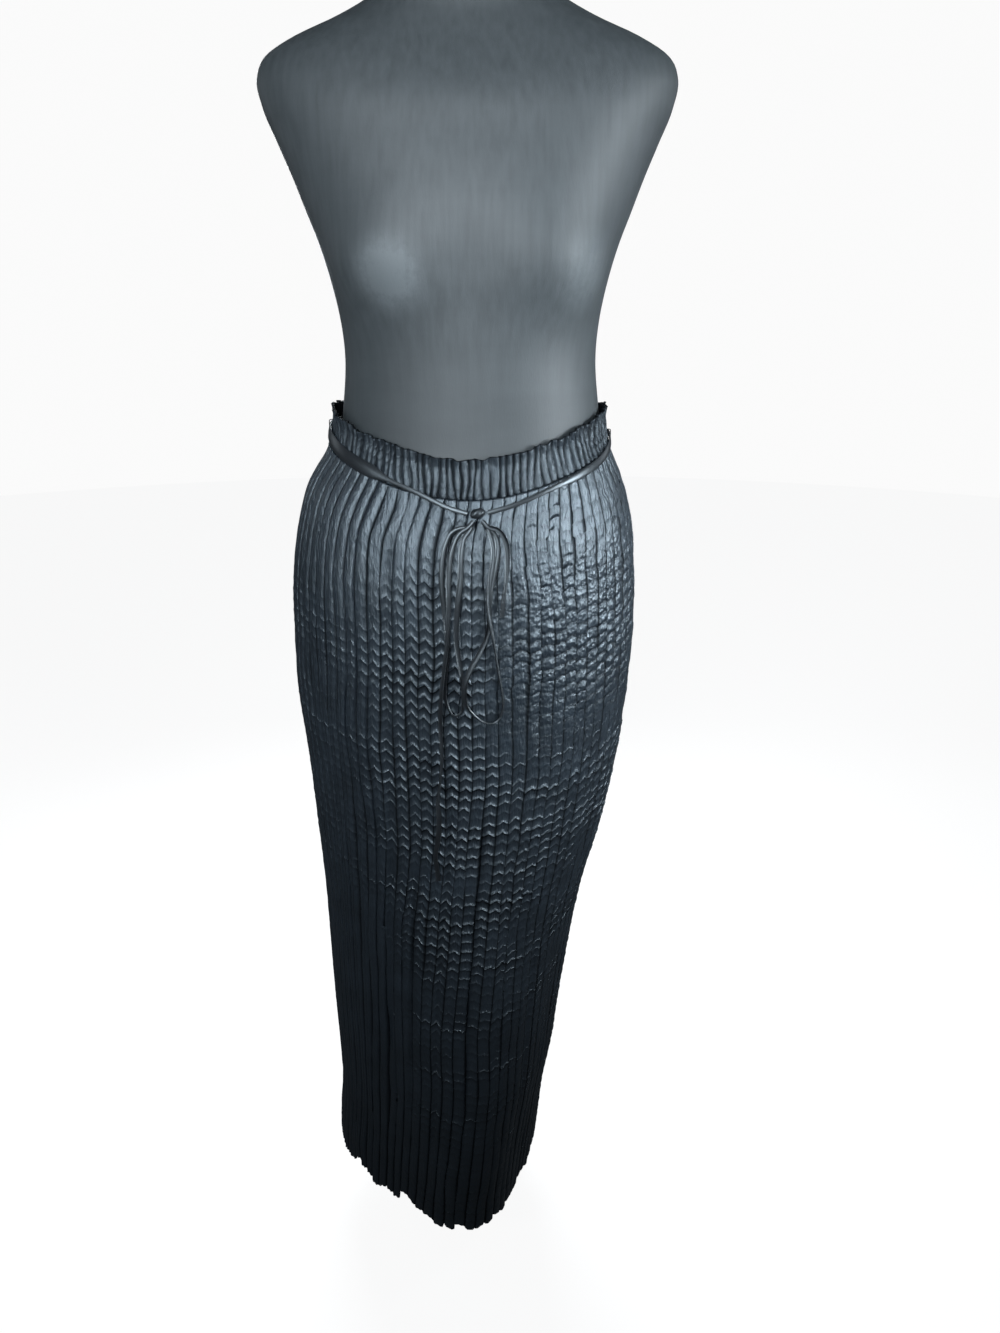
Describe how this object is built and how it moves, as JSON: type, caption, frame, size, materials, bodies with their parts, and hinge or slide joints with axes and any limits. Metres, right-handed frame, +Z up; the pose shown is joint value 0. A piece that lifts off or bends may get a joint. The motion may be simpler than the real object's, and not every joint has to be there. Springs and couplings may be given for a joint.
{
  "type": "long pleated skirt on a limbless dress form",
  "caption": "Ankle-length pleated skirt with a gathered elastic waistband and a thin ribbon tie in a bow, worn on a limbless dress form with a hidden round stand.",
  "frame": {"origin": "middle of the stand base's underside, on the surface that it stands on", "axes": "+Z up, the skirt's front faces -Y, +X to the right as seen from the front"},
  "size_m": [0.3812, 0.2742, 1.41],
  "materials": {
    "satin": "satin",
    "jersey": "matt jersey",
    "ribbon": "matt",
    "enamel": "semi-gloss"
  },
  "bodies": {
    "root": {"dress_form": "jersey", "stand_pole": "enamel", "stand_base": "enamel", "skirt_front": "satin", "skirt_back": "satin", "waistband_front": "satin", "waistband_back": "satin", "tie_left": "ribbon", "tie_right": "ribbon", "tie_back": "ribbon", "bow_knot": "ribbon", "bow_loop_left": "ribbon", "bow_loop_right": "ribbon", "tie_tail_left": "ribbon", "tie_tail_right": "ribbon", "carrier_left": "ribbon", "carrier_right": "ribbon"}
  },
  "joints": []
}
